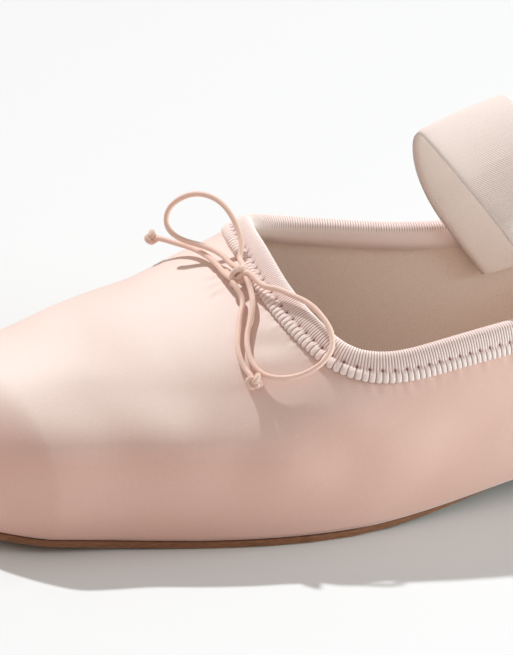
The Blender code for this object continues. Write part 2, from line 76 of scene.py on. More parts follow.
# %% Sizes of the shoe
SHOE_LENGTH = 0.250
BALL_WIDTH = 0.079
INSTEP_HEIGHT = 0.048
HEEL_HEIGHT = 0.0088
TOE_SPRING = 0.0030

# The last
HEEL_CENTRE = 0.027
SIDE_SWELL = 0.0028
SWELL_HEIGHT = 0.016
HEEL_ROUND_SHARE = 0.123
TOE_ROUND_SHARE = 0.085
TOE_CORNER = 0.0160
TOE_BOW = 0.030
HEEL_TUCK = 0.003
HEEL_GRIP = 0.0045
GRIP_STARTS = 0.018
GRIP_HEIGHT = 0.040

# The last's own shares: of the length, of a section's rise
HEEL_CURVE_END_SHARE = 0.22
TOE_BOW_START_SHARE = 0.80
LEAN_SHARE = 0.25
SWELL_SHARE = 0.30

# Thickness of the pieces and the space between them
UPPER_WALL = 0.0016
FOOT_FOLLOWS_RIM = 0.65
SOLE_THICKNESS = 0.0017
INSOLE_THICKNESS = 0.0020
INSOLE_CLEARANCE = 0.0008
INSOLE_EDGE_ROUND = 0.0006
INSOLE_ROUND_STARTS = 0.7
PIECE_GAP = 0.0003
EDGE_ROUND = 0.0004

# Binding, strap and cord
BINDING_OUTSIDE = 0.0060
BINDING_INSIDE = 0.0050
BINDING_THICKNESS = 0.0009
BINDING_GAP = 0.0006
BINDING_ROUND = 0.7
STRAP_THICKNESS = 0.0012
STRAP_SETTLE = 0.0038
CORD_RADIUS = 0.00068
CORD_STEP = 4.6

# %% [markdown]
# A last is described by its cross sections. A row gives a section's place, its
# half widths out and in, and its height, as shares of the ball width and the
# instep height. Then come how far its crown leans in and how full each side is.

# %% Sections of the last
# station, outer, inner, height, crown, outer_full, inner_full
SECTIONS = (
    (0.000, .373, .373, 1.25, .000, 2.2, 2.2),
    (0.079, .380, .368, 1.37, .000, 2.2, 2.2),
    (0.157, .390, .366, 1.50, .010, 2.2, 2.2),
    (0.256, .390, .348, 1.64, .035, 2.2, 2.2),
    (0.354, .400, .316, 1.70, .060, 2.2, 2.2),
    (0.453, .441, .315, 1.60, .100, 2.1, 2.5),
    (0.551, .492, .378, 1.36, .165, 2.0, 2.9),
    (0.630, .514, .450, 1.14, .200, 2.0, 3.1),
    (0.689, .502, .487, 1.01, .195, 2.0, 2.9),
    (0.768, .450, .487, 0.88, .165, 2.1, 2.6),
    (0.846, .389, .437, 0.80, .110, 2.2, 2.6),
    (0.915, .358, .380, 0.72, .050, 2.3, 2.6),
    (1.00, .325, .335, 0.62, .000, 2.4, 2.6),
)
print("sections:", len(SECTIONS))

# %% [markdown]
# The tread is the line that the sole stands on: high under the heel, down over
# the waist to the floor at the ball, and up a little at the toe.

# %% Height of the tread
# station, share of the heel height, share of the toe spring
TREAD = (
    (0.000, 1.000, 0.00),
    (0.098, 1.000, 0.00),
    (0.197, 0.985, 0.00),
    (0.295, 0.870, 0.00),
    (0.394, 0.620, 0.00),
    (0.492, 0.280, 0.00),
    (0.571, 0.050, 0.00),
    (0.630, -.020, 0.00),
    (0.689, -.010, -.01),
    (0.748, 0.000, -.02),
    (0.807, 0.000, 0.10),
    (0.886, 0.000, 0.38),
    (1.00, 0.000, 1.00),
)
print("tread rows:", len(TREAD))

# %% [markdown]
# The topline is the rim that the binding covers. It runs from the heel along the
# outer side, round the throat and back along the inner side. The outer side and
# the throat follow the photograph as far as it shows them. The rest is guessed.

# %% The topline
# station, across
TOPLINE = (
    (0.000, -.270),
    (0.020, -.365),
    (0.049, -.445),
    (0.098, -.515),
    (0.197, -.575),
    (0.295, -.600),
    (0.394, -.600),
    (0.472, -.587),
    (0.531, -.577),
    (0.581, -.560),
    (0.612, -.515),
    (0.632, -.425),
    (0.645, -.300),
    (0.6490, -.150),
    (0.6480, 0.000),
    (0.6450, 0.130),
    (0.6370, 0.210),
    (0.6180, 0.275),
    (0.5870, 0.335),
    (0.5450, 0.400),
    (0.500, 0.465),
    (0.450, 0.520),
    (0.374, 0.562),
    (0.276, 0.578),
    (0.197, 0.562),
    (0.098, 0.515),
    (0.049, 0.445),
    (0.020, 0.365),
    (0.000, 0.270),
)
OUTER_CORNER = 10
INNER_CORNER = 17
ACROSS_WEIGHT = 0.4
print("topline rows:", len(TOPLINE))

# %% [markdown]
# The elastic crosses the instep a little slantwise and settles inside the walls.
# A row gives its front and rear edge at one place across the last. Only its
# outer half is in the photograph, and the inner half is guessed from it.

# %% Edges of the strap
# across, front station, rear station
STRAP_EDGES = (
    (-.700, 0.372, 0.287),
    (-.620, 0.392, 0.307),
    (-.500, 0.421, 0.336),
    (-.408, 0.443, 0.356),
    (-.317, 0.460, 0.373),
    (-.200, 0.475, 0.389),
    (0.000, 0.484, 0.399),
    (0.200, 0.478, 0.393),
    (0.400, 0.458, 0.372),
    (0.520, 0.437, 0.351),
    (0.620, 0.417, 0.332),
    (0.700, 0.400, 0.315),
)
STRAP_LEAVES = 0.34
STRAP_SETTLED = 0.50
print("strap rows:", len(STRAP_EDGES))

# %% [markdown]
# The bow's cord is laid through these spots, in metres. They follow its
# line in the photograph. Their height over the satin is assumed, because one
# picture can't show it.

# %% Route of the bow
# forward, inward, up
KNOT_PLACE = (.1437, -.0014, .0532)
KNOT_HALF_SIZE = (.0026, .0022, .0018)
NEAR_LOOP_ROUTE = (
    (.1425, -.0039, .0531),
    (.1403, -.0084, .0530),
    (.1378, -.0117, .0531),
    (.1351, -.0157, .0528),
    (.1324, -.0196, .0521),
    (.1304, -.0242, .0503),
    (.1295, -.0280, .0480),
    (.1305, -.0315, .0451),
    (.1333, -.0330, .0427),
    (.1375, -.0329, .0405),
    (.1421, -.0320, .0396),
    (.1459, -.0297, .0398),
    (.1477, -.0265, .0410),
    (.1480, -.0224, .0431),
    (.1467, -.0177, .0455),
    (.1446, -.0139, .0479),
    (.1432, -.0103, .0501),
    (.1427, -.0067, .0516),
    (.1433, -.0039, .0524),
)
FAR_LOOP_ROUTE = (
    (.1429, .0012, .0535),
    (.1415, .0056, .0540),
    (.1403, .0085, .0560),
    (.1400, .0120, .0587),
    (.1411, .0160, .0619),
    (.1434, .0200, .0640),
    (.1469, .0230, .0645),
    (.1507, .0255, .0627),
    (.1536, .0260, .0597),
    (.1542, .0248, .0563),
    (.1520, .0212, .0541),
    (.1485, .0175, .0536),
    (.1460, .0134, .0536),
    (.1444, .0084, .0534),
    (.1437, .0049, .0530),
    (.1437, .0013, .0531),
)
NEAR_TAIL_ROUTE = (
    (.1445, -.0032, .0516),
    (.1448, -.0039, .0510),
    (.1449, -.0074, .0496),
    (.1467, -.0119, .0476),
    (.1484, -.0161, .0458),
    (.1499, -.0202, .0439),
    (.1503, -.0235, .0421),
    (.1497, -.0268, .0403),
    (.1494, -.0280, .0399),
)
FAR_TAIL_ROUTE = (
    (.1464, -.0005, .0524),
    (.1468, -.0004, .0523),
    (.1465, .0098, .0518),
    (.1475, .0158, .0516),
    (.1494, .0217, .0512),
    (.1524, .0270, .0508),
    (.1546, .0300, .0507),
)
NEAR_TAIL_KNOT = (.1488, -.0304, .0389)
FAR_TAIL_KNOT = (.1562, .0320, .0503)
TAIL_KNOT_HALF_SIZE = (.0017, .0019, .0016)
print("loop spots:", len(NEAR_LOOP_ROUTE), "and", len(FAR_LOOP_ROUTE))

# %% [markdown]
# Everything on the shoe follows the last. A place on it is two numbers: round
# runs from the heel to the toe, and across runs from the outer edge of the sole
# (-1) over the crown (0) to the inner edge (+1).

# %% Reading the tables
def smooth_table(places, values, wanted):
    """Read a table as a smooth curve through its rows."""
    places = np.asarray(places, float)
    values = np.asarray(values, float)
    rows = len(places)
    step = np.diff(places)
    system = np.eye(rows)
    right = np.zeros(rows)
    for i in range(1, rows - 1):
        system[i, i - 1:i + 2] = step[i - 1], 2 * (step[i - 1] + step[i]), step[i]
        rise = np.diff(values)[i - 1:i + 1] / step[i - 1:i + 1]
        right[i] = 6 * (rise[1] - rise[0])
    bend = np.linalg.solve(system, right)
    wanted = np.asarray(wanted, float)
    k = np.clip(np.searchsorted(places, wanted) - 1, 0, rows - 2)
    t = wanted - places[k]
    slope = (values[k + 1] - values[k]) / step[k]
    slope = slope - step[k] * (2 * bend[k] + bend[k + 1]) / 6
    curve = bend[k] / 2 + t * (bend[k + 1] - bend[k]) / (6 * step[k])
    return values[k] + t * (slope + t * curve)


def column(table, k, wanted):
    """Read column k of a table whose first column is the place."""
    return smooth_table([row[0] for row in table], [row[k] for row in table], wanted)


# %% [markdown]
# A station is a plain share of the length. Round values turn the corner at the
# heel and the toe, so places stay evenly spaced where the shoe's ends bend.

# %% Round values and stations
HEEL_TURN = HEEL_ROUND_SHARE * pi / 2
TOE_START = HEEL_TURN + 1 - TOE_ROUND_SHARE - HEEL_ROUND_SHARE
ROUND_END = TOE_START + TOE_ROUND_SHARE * pi / 2
print("round values end at", round(ROUND_END, 3))


def station_of(around):
    """Share of the shoe's length, from heel to toe, at a round value."""
    around = np.asarray(around, float)
    heel = HEEL_ROUND_SHARE * (1 - np.cos(np.clip(around / HEEL_ROUND_SHARE, 0, pi / 2)))
    turn = np.clip((around - TOE_START) / TOE_ROUND_SHARE, 0, pi / 2)
    straight = np.clip(around, HEEL_TURN, TOE_START) - HEEL_TURN
    return heel + straight + TOE_ROUND_SHARE * np.sin(turn)


def round_of(station):
    """Round value at a share of the shoe's length."""
    station = np.asarray(station, float)
    heel = HEEL_ROUND_SHARE * np.arccos(np.clip(1 - station / HEEL_ROUND_SHARE, 0, 1))
    toe = TOE_ROUND_SHARE * np.arcsin(np.clip((station - 1) / TOE_ROUND_SHARE + 1, 0, 1))
    return heel + np.clip(station, HEEL_ROUND_SHARE, 1 - TOE_ROUND_SHARE) - HEEL_ROUND_SHARE + toe


def tread_height(station):
    """Height of the sole's underside, never under the floor."""
    lift = HEEL_HEIGHT * column(TREAD, 1, station)
    spring = TOE_SPRING * column(TREAD, 2, station)
    return np.maximum(lift + spring, 0)


def seat_height(station):
    """Height of the feather line, where the upper stands on the sole."""
    return tread_height(station) + SOLE_THICKNESS + PIECE_GAP


# %% [markdown]
# A section stands nearly upright by the sole, where it swells a little, and
# curves over to the crown above that. The heel curves in over the foot and the
# toe bows round.

# %% Curve of a section
def section_curve(w, half, swell, crown, low, top, side, full):
    """One side of a section: w runs from the feather line (0) to the crown (1)."""
    lean = np.clip(w / LEAN_SHARE, 0, 1)
    arch = np.clip((w - LEAN_SHARE) / (1 - LEAN_SHARE), 0, 1) * pi / 2
    rise = np.maximum(np.sin(arch), 0) ** (2 / full)
    run = np.maximum(np.cos(arch), 0) ** (2 / full)
    y = crown + (side * (half + swell) - crown) * run - side * swell * (1 - lean) ** 2
    z = low * lean + (top - low) * rise
    return y, z


def section_steps():
    """Values of w at which a section is measured, closest round its shoulder."""
    share = np.linspace(0, 1, 41)
    shoulder = 0.15 * (1 - LEAN_SHARE)
    return np.unique(np.concatenate([
        LEAN_SHARE * share,
        LEAN_SHARE + shoulder * share ** 2,
        LEAN_SHARE + shoulder + (1 - LEAN_SHARE - shoulder) * share,
    ]))


def from_heel(station, y, z):
    """Distance from the back of the last, with its bowed toe and curved heel."""
    bow = TOE_BOW * np.clip((station - TOE_BOW_START_SHARE) / (1 - TOE_BOW_START_SHARE), 0, 1) ** 2
    back = np.clip(1 - station / HEEL_CURVE_END_SHARE, 0, 1) ** 2
    tuck = HEEL_TUCK * np.clip(1 - z / GRIP_STARTS, 0, 1) ** 2
    grip = HEEL_GRIP * np.clip((z - GRIP_STARTS) / GRIP_HEIGHT, 0, 2) ** 2
    return station * SHOE_LENGTH - bow * (y / (BALL_WIDTH / 2)) ** 2 + back * (tuck + grip)


# %% [markdown]
# A point is found by going a share of the way along its section, so across
# values stay even over the surface. Its slopes give the outward direction.

# %% Points on the last
def last_point(around, across):
    """Points on the last."""
    around, across = np.broadcast_arrays(
        np.asarray(around, float), np.asarray(across, float))
    shape = around.shape
    around, across = around.ravel(), across.ravel()
    across = np.where(around < 0, -across, across)
    around = np.abs(around)
    station = station_of(around)
    outer, inner, height, crown, outer_full, inner_full = (
        column(SECTIONS, k, station) for k in range(1, 7))
    heel = np.sin(np.clip(around / HEEL_ROUND_SHARE, 0, pi / 2))
    turn = np.clip((around - TOE_START) / TOE_ROUND_SHARE, 0, pi / 2)
    corner = TOE_CORNER * (1 - np.cos(turn))
    top = height * INSTEP_HEIGHT * np.cos(turn)
    parts = (
        np.where(across < 0, outer, inner) * BALL_WIDTH * heel - corner,
        SIDE_SWELL * heel * np.cos(turn),
        crown * BALL_WIDTH * heel,
        np.minimum(SWELL_SHARE * top, SWELL_HEIGHT),
        top,
        np.where(across < 0, -1., 1.),
        np.where(across < 0, outer_full, inner_full),
    )
    stretched = tuple(part[:, None] for part in parts)
    w = section_steps()
    y, z = section_curve(w[None, :], *stretched)
    lengths = np.hypot(np.diff(y, axis=1), np.diff(z, axis=1))
    walked = np.concatenate([np.zeros((len(y), 1)), np.cumsum(lengths, 1)], 1)
    goal = (1 - np.abs(across)) * walked[:, -1]
    k = np.clip((walked < goal[:, None]).sum(1) - 1, 0, len(w) - 2)
    row = np.arange(len(k))
    part_way = (goal - walked[row, k]) / np.maximum(walked[row, k + 1] - walked[row, k], 1e-12)
    y, z = section_curve(w[k] + part_way * (w[k + 1] - w[k]), *parts)
    x = HEEL_CENTRE - from_heel(station, y, z)
    points = np.stack([x, y, z + seat_height(station)], -1)
    return points.reshape(shape + (3,))


def unit(vectors):
    """Vectors of length one."""
    length = np.linalg.norm(vectors, axis=-1, keepdims=True)
    return vectors / np.maximum(length, 1e-12)


def last_frame(around, across):
    """Slopes of the last along round and across, and its outward direction."""
    near = 1e-4
    along = (last_point(around + near, across) - last_point(around - near, across)) / (2 * near)
    over = (last_point(around, across + near) - last_point(around, across - near)) / (2 * near)
    return along, over, unit(np.cross(over, along))


def walk(around, across, way, distance, steps):
    """Go a distance over the last in a direction, in short steps."""
    for _ in range(steps):
        along, over, _out = last_frame(around, across)
        slopes = np.stack([along, over], -1)
        aim = unit(way) * (distance / steps)
        move = np.einsum("nij,nj->ni", np.linalg.pinv(slopes), aim)
        around = around + move[:, 0]
        across = across + move[:, 1]
    return around, across


# %% [markdown]
# The topline is read as a closed curve, with rows repeated past both ends. Places
# along it are spaced evenly before any cloth is cut to them.

# %% Points on the topline
def topline_rows():
    """The topline's rows and where each lies along it, two rows past each end."""
    around = np.array([float(round_of(row[0])) for row in TOPLINE])
    across = np.array([row[1] for row in TOPLINE])
    around = np.concatenate([-around[2:0:-1], around, -around[-2:-4:-1]])
    across = np.concatenate([-across[-3:-1], across, -across[1:3]])
    gap = np.hypot(np.diff(around), ACROSS_WEIGHT * np.diff(across))
    place = np.concatenate([[0], np.cumsum(gap)])
    return around, across, (place - place[2]) / (place[-3] - place[2])


def topline_at(shares):
    """Round and across values on the topline, shares 0 to 1 along it."""
    around, across, place = topline_rows()
    return smooth_table(place, around, shares), smooth_table(place, across, shares)


def topline_share(row):
    """Share along the topline at which a row of its table lies."""
    return topline_rows()[2][row + 2]


def even_shares(points_at, count, start=0.0, end=1.0):
    """Shares at which a curve is cut into pieces of even length."""
    fine = np.linspace(start, end, 1201)
    points = points_at(fine)
    walked = np.concatenate([[0], np.cumsum(np.linalg.norm(np.diff(points, axis=0), axis=1))])
    return np.interp(np.linspace(0, walked[-1], count + 1), walked, fine)


def topline_point(shares):
    """Points on the topline."""
    return last_point(*topline_at(shares))


print("rim at the heel:", topline_point(np.array([0.0]))[0].round(4))

# %% [markdown]
# Cloth pieces start as a flat grid, as cloth does on the cutting table. Each
# corner then moves to its place on the last, and the grid's own flat map stays
# with it, so that threads and ribs can follow the cloth.

# %% Cloth laid over the last
def laid_cloth(long_steps, cross_steps, place):
    """A flat grid whose corners are moved by place(u, v), u and v from 0 to 1."""
    cloth = bmesh.new()
    cloth.loops.layers.uv.new("cut")
    bmesh.ops.create_grid(
        cloth, x_segments=long_steps, y_segments=cross_steps, size=0.5, calc_uvs=True)
    mesh = bpy.data.meshes.new("cut_cloth")
    cloth.to_mesh(mesh)
    cloth.free()
    flat = np.empty(len(mesh.vertices) * 3)
    mesh.vertices.foreach_get("co", flat)
    u, v = flat.reshape(-1, 3)[:, 0] + 0.5, flat.reshape(-1, 3)[:, 1] + 0.5
    points, marks = place(u, v)
    mesh.vertices.foreach_set("co", np.ascontiguousarray(points).ravel())
    for name, value in marks.items():
        mesh.attributes.new(name, "FLOAT", "POINT").data.foreach_set("value", value)
    return mesh


def sewn_piece(name, cloths, materials, weld=2e-6, fill_ends=False, sharp=180):
    """Join laid cloths into one piece with its faces pointing outwards."""
    work = bmesh.new()
    for cloth in cloths:
        work.from_mesh(cloth)
        bpy.data.meshes.remove(cloth)
    bmesh.ops.remove_doubles(work, verts=work.verts, dist=weld)
    if fill_ends:
        bmesh.ops.holes_fill(work, edges=work.edges, sides=0)
    bmesh.ops.recalc_face_normals(work, faces=work.faces)
    mesh = bpy.data.meshes.new(name)
    work.to_mesh(mesh)
    work.free()
    for material in materials:
        mesh.materials.append(material)
    mesh.shade_smooth()
    if sharp < 180:
        mesh.set_sharp_from_angle(angle=np.radians(sharp))
    piece = bpy.data.objects.new(name, mesh)
    bpy.context.scene.collection.objects.link(piece)
    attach(piece, "root")
    print(name, len(mesh.polygons), "faces")
    return piece


# %% [markdown]
# Round cord is a narrow cloth rolled up: u runs along it and v round it. The
# frames are carried along the route without twist, so the weave stays even.

# %% Rolled cord
def smooth_route(spots, spacing):
    """Points at an even spacing on a smooth curve through chosen spots."""
    spots = np.asarray(spots, float)
    walked = np.concatenate([[0], np.cumsum(np.linalg.norm(np.diff(spots, axis=0), axis=1))])
    fine = np.linspace(0, walked[-1], 40 * len(spots))
    line = np.stack([smooth_table(walked, spots[:, k], fine) for k in range(3)], -1)
    length = np.concatenate([[0], np.cumsum(np.linalg.norm(np.diff(line, axis=0), axis=1))])
    wanted = np.linspace(0, length[-1], int(length[-1] / spacing) + 2)
    return np.stack([np.interp(wanted, length, line[:, k]) for k in range(3)], -1), length[-1]


def cord_frames(line, closed=False):
    """Side directions along a line, carried without twist."""
    run = unit(np.gradient(line, axis=0))
    if closed:
        run = unit(np.roll(line, -1, 0) - np.roll(line, 1, 0))
    side = unit(np.cross(run[0], (0.3, 0.2, 1.0)))
    sides = []
    for way in run:
        side = unit(side - way * np.dot(side, way))
        sides.append(side)
    sides = np.array(sides)
    return sides, np.cross(run, sides)


def rolled_cord(name, line, radius, material, round_steps=14, closed=False):
    """A round cord along a line of points, with closed ends."""
    sides, tops = cord_frames(line, closed)
    count = len(line) - 1

    def place(u, v):
        k = np.rint(u * count).astype(int)
        turn = v * 2 * pi
        size = radius * np.ones(len(k))
        if not closed:
            size = radius * np.where((k == 0) | (k == count), 0.6, 1.0)
        ring = np.cos(turn)[:, None] * sides[k] + np.sin(turn)[:, None] * tops[k]
        return line[k] + ring * size[:, None], {}
    return sewn_piece(name, [laid_cloth(count, round_steps, place)], [material],
                      weld=1e-6, fill_ends=not closed)


# %% [markdown]
# Finishes are built from small helpers, so each one reads as a short recipe.
# Even numbers go straight on the shader, and only patterns are linked.

# %% Helpers for finishes
def finish(name, colour, roughness, sheen=0.0, sheen_roughness=0.5, specular=0.5):
    """A Principled finish and its node tree."""
    material = bpy.data.materials.new(name)
    material.use_nodes = True
    tree = material.node_tree
    shader = tree.nodes["Principled BSDF"]
    shader.inputs["Base Color"].default_value = (*colour, 1)
    shader.inputs["Roughness"].default_value = roughness
    shader.inputs["Sheen Weight"].default_value = sheen
    shader.inputs["Sheen Roughness"].default_value = sheen_roughness
    shader.inputs["Specular IOR Level"].default_value = specular
    return material, tree, shader


def object_noise(tree, scale, stretch=(1, 1, 1), detail=3.0, roughness=0.55):
    """Noise in the shoe's own metres, stretched along the axes."""
    where = tree.nodes.new("ShaderNodeTexCoord")
    mapping = tree.nodes.new("ShaderNodeMapping")
    mapping.inputs["Scale"].default_value = stretch
    noise = tree.nodes.new("ShaderNodeTexNoise")
    noise.inputs["Scale"].default_value = scale
    noise.inputs["Detail"].default_value = detail
    noise.inputs["Roughness"].default_value = roughness
    tree.links.new(where.outputs["Object"], mapping.inputs["Vector"])
    tree.links.new(mapping.outputs["Vector"], noise.inputs["Vector"])
    return noise.outputs["Fac"]


def map_wave(tree, map_scale, direction="X", distortion=0.0, phase=0.0):
    """Even bands along the cloth's own flat map."""
    where = tree.nodes.new("ShaderNodeUVMap")
    where.uv_map = "cut"
    mapping = tree.nodes.new("ShaderNodeMapping")
    mapping.inputs["Scale"].default_value = map_scale
    wave = tree.nodes.new("ShaderNodeTexWave")
    wave.bands_direction = direction
    wave.inputs["Scale"].default_value = 1.0
    wave.inputs["Distortion"].default_value = distortion
    wave.inputs["Phase Offset"].default_value = phase
    tree.links.new(where.outputs["UV"], mapping.inputs["Vector"])
    tree.links.new(mapping.outputs["Vector"], wave.inputs["Vector"])
    return wave.outputs["Fac"]


def blend_colours(tree, factor, low, high, start=0.3, end=0.7):
    """A colour ramp between two colours."""
    ramp = tree.nodes.new("ShaderNodeValToRGB")
    ramp.color_ramp.elements[0].position = start
    ramp.color_ramp.elements[0].color = (*low, 1)
    ramp.color_ramp.elements[1].position = end
    ramp.color_ramp.elements[1].color = (*high, 1)
    tree.links.new(factor, ramp.inputs["Fac"])
    return ramp.outputs["Color"]


def mixed_colours(tree, first, second, factor=None, way="MIX"):
    """Two colours mixed by a factor, or all the way."""
    mix = tree.nodes.new("ShaderNodeMix")
    mix.data_type = "RGBA"
    mix.blend_type = way
    mix.inputs["Factor"].default_value = 1.0
    if factor is not None:
        tree.links.new(factor, mix.inputs["Factor"])
    tree.links.new(first, mix.inputs["A"])
    tree.links.new(second, mix.inputs["B"])
    return mix.outputs["Result"]


def facing_up(tree, start, end):
    """How far a surface faces up, from 0 at start to 1 at end."""
    facing = tree.nodes.new("ShaderNodeNewGeometry")
    split = tree.nodes.new("ShaderNodeSeparateXYZ")
    share = tree.nodes.new("ShaderNodeMapRange")
    share.inputs["From Min"].default_value = start
    share.inputs["From Max"].default_value = end
    tree.links.new(facing.outputs["Normal"], split.inputs["Vector"])
    tree.links.new(split.outputs["Z"], share.inputs["Value"])
    return share.outputs["Result"]


def raise_surface(tree, shader, heights):
    """Bumps given as (height output, distance in metres, strength)."""
    last_normal = None
    for height, distance, strength in heights:
        bump = tree.nodes.new("ShaderNodeBump")
        bump.inputs["Distance"].default_value = distance
        bump.inputs["Strength"].default_value = strength
        tree.links.new(height, bump.inputs["Height"])
        if last_normal is not None:
            tree.links.new(last_normal, bump.inputs["Normal"])
        last_normal = bump.outputs["Normal"]
    tree.links.new(last_normal, shader.inputs["Normal"])


# %% [markdown]
# Satin shines because long threads float over the weave along one direction.
# A noise stretched along the shoe gives those floats, a finer one the grain,
# and a broad one a slight change of tone. Light and shade are painted into the
# colour: a paler tone where the cloth faces up is painted light, and a deeper
# tone on the sides is painted shade. Neither was measured on satin: both tones
# were set by comparing renders with the lit and the shaded parts of the
# photograph.

# %% Satin
satin, tree, shader = finish("blush_satin", (0.760, 0.490, 0.410), 0.65, 0.30, 0.40, 1.0)
shader.inputs["IOR"].default_value = 1.75
floats = object_noise(tree, 1.0, (1100, 4200, 4200), 2.0)
grain = object_noise(tree, 1.0, (2600, 2600, 2600), 3.0)
broad = object_noise(tree, 26.0, (1, 1, 1), 2.0)
# Painted shade and painted light: a deeper tone on the sides and a paler one on top, mixed by how
# far the cloth faces up.
mottled_painted_shade_tone = blend_colours(tree, broad, (0.735, 0.420, 0.335), (0.795, 0.480, 0.395))
mottled_painted_light_tone = blend_colours(tree, broad, (0.760, 0.575, 0.505), (0.820, 0.635, 0.565))
tone = mixed_colours(tree, mottled_painted_shade_tone, mottled_painted_light_tone, facing_up(tree, 0.30, 0.85))
thread = blend_colours(tree, floats, (0.955, 0.94, 0.93), (1, 1, 1), 0.35, 0.65)
tree.links.new(mixed_colours(tree, tone, thread, way="MULTIPLY"), shader.inputs["Base Color"])
raise_surface(tree, shader, [(floats, 0.00003, 0.55), (grain, 0.00004, 0.45)])

print("satin ready")

# %% [markdown]
# The other cloths are plain: a woven lining, a ribbed tape with painted shade
# in its grooves and needle holes, a pale elastic and a braided cord. Their colours
# were set one by one, and the lining's is guessed, because the photograph hides it.

# %% Lining, tape, elastic and cord
lining, tree, shader = finish("cotton_lining", (0.86, 0.74, 0.67), 0.8, 0.15)
warp = object_noise(tree, 1.0, (3200, 1500, 3200), 2.0)
tree.links.new(blend_colours(tree, warp, (0.80, 0.66, 0.58), (0.90, 0.78, 0.70)),
               shader.inputs["Base Color"])
raise_surface(tree, shader, [(warp, 0.00004, 0.6)])

tape, tree, shader = finish("ribbed_tape", (0.770, 0.575, 0.530), 0.62, 0.4, 0.4, 0.4)
fuzz = object_noise(tree, 1.0, (3600, 3600, 3600), 2.0)
mark = tree.nodes.new("ShaderNodeAttribute")
mark.attribute_name = "shade"
woven = blend_colours(tree, fuzz, (0.920, 0.760, 0.710), (0.955, 0.840, 0.795))
# Painted shade: the shade mark darkens the tape, mauve in its rib grooves and dark brown in its
# needle holes.
painted_shade_ramp = blend_colours(tree, mark.outputs["Fac"], (1, 1, 1), (0.13, 0.07, 0.07), 0.0, 1.0)
painted_groove_shade_stop = painted_shade_ramp.node.color_ramp.elements.new(0.5)
painted_groove_shade_stop.color = (0.52, 0.33, 0.33, 1)
tree.links.new(mixed_colours(tree, woven, painted_shade_ramp, way="MULTIPLY"), shader.inputs["Base Color"])
raise_surface(tree, shader, [(fuzz, 0.00003, 0.5)])

elastic, tree, shader = finish("pale_elastic", (0.88, 0.77, 0.71), 0.6, 0.35, 0.4, 0.5)
fuzz = object_noise(tree, 1.0, (3600, 3600, 3600), 2.0)
tree.links.new(blend_colours(tree, fuzz, (0.85, 0.73, 0.67), (0.91, 0.80, 0.75)),
               shader.inputs["Base Color"])
raise_surface(tree, shader, [(fuzz, 0.00003, 0.5)])

cord_finish, tree, shader = finish("salmon_cord", (0.800, 0.530, 0.460), 0.5, 0.35, 0.4, 0.45)
braid = map_wave(tree, (260.0, 9.4, 1.0), "DIAGONAL", 0.6)
tree.links.new(blend_colours(tree, braid, (0.850, 0.560, 0.460), (0.930, 0.690, 0.590), 0.2, 0.8),
               shader.inputs["Base Color"])
raise_surface(tree, shader, [(braid, 0.00004, 0.5)])
print("cloth finishes ready")

# %% [markdown]
# The sole is thin leather: burnished brown at its cut edge, with a paler,
# scuffed tread. The heel is a stack of leather layers.

# %% Leather
sole_leather, tree, shader = finish("brown_sole_leather", (0.21, 0.085, 0.038), 0.48, 0.0, 0.5, 0.45)
fibre = object_noise(tree, 1.0, (500, 500, 2600), 4.0)
pores = object_noise(tree, 1500.0, (1, 1, 1), 3.0)
rubbed = object_noise(tree, 60.0, (1, 1, 1), 4.0)
edge_tone = blend_colours(tree, fibre, (0.165, 0.062, 0.026), (0.300, 0.130, 0.060), 0.25, 0.75)
tread_tone = blend_colours(tree, rubbed, (0.330, 0.175, 0.090), (0.500, 0.310, 0.180), 0.35, 0.7)
both_tones = mixed_colours(tree, edge_tone, tread_tone, facing_up(tree, -0.5, -0.9))
tree.links.new(both_tones, shader.inputs["Base Color"])
raise_surface(tree, shader, [(fibre, 0.00008, 0.5), (pores, 0.00003, 0.5)])

heel_leather, tree, shader = finish("stacked_heel_leather", (0.20, 0.080, 0.036), 0.45)
layers = object_noise(tree, 1.0, (60, 60, 900), 2.0)
tree.links.new(blend_colours(tree, layers, (0.120, 0.045, 0.020), (0.290, 0.125, 0.058), 0.3, 0.7),
               shader.inputs["Base Color"])
raise_surface(tree, shader, [(layers, 0.0001, 0.6)])

insole_leather, tree, shader = finish("pale_insole_leather", (0.76, 0.60, 0.50), 0.6)
pores = object_noise(tree, 1400.0, (1, 1, 1), 4.0)
pressed = object_noise(tree, 40.0, (1, 1, 1), 3.0)
tree.links.new(blend_colours(tree, pressed, (0.70, 0.53, 0.43), (0.80, 0.65, 0.55)),
               shader.inputs["Base Color"])
raise_surface(tree, shader, [(pores, 0.00005, 0.4)])
for node, leather in (("outsole", sole_leather), ("heel", heel_leather),
                      ("insole", insole_leather)):
    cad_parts[node].data.materials.clear()
    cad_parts[node].data.materials.append(leather)
print("leather finishes ready")

# %% [markdown]
# The bow is a drawstring: two ends of one cord come out under the binding and
# are tied. Each end is one cord, with its loop, its tail and a small knot that
# keeps it from fraying.

# %% The bow's two cords
def spot_of(row):
    """A spot given as forward, inward and up, as a point."""
    return np.array([-row[0], row[1], row[2]])


def off_last(station, across, height):
    """A point over the last, on its outward direction."""
    around = np.array([float(round_of(station))])
    across = np.array([across])
    return (last_point(around, across) + height * last_frame(around, across)[2])[0]


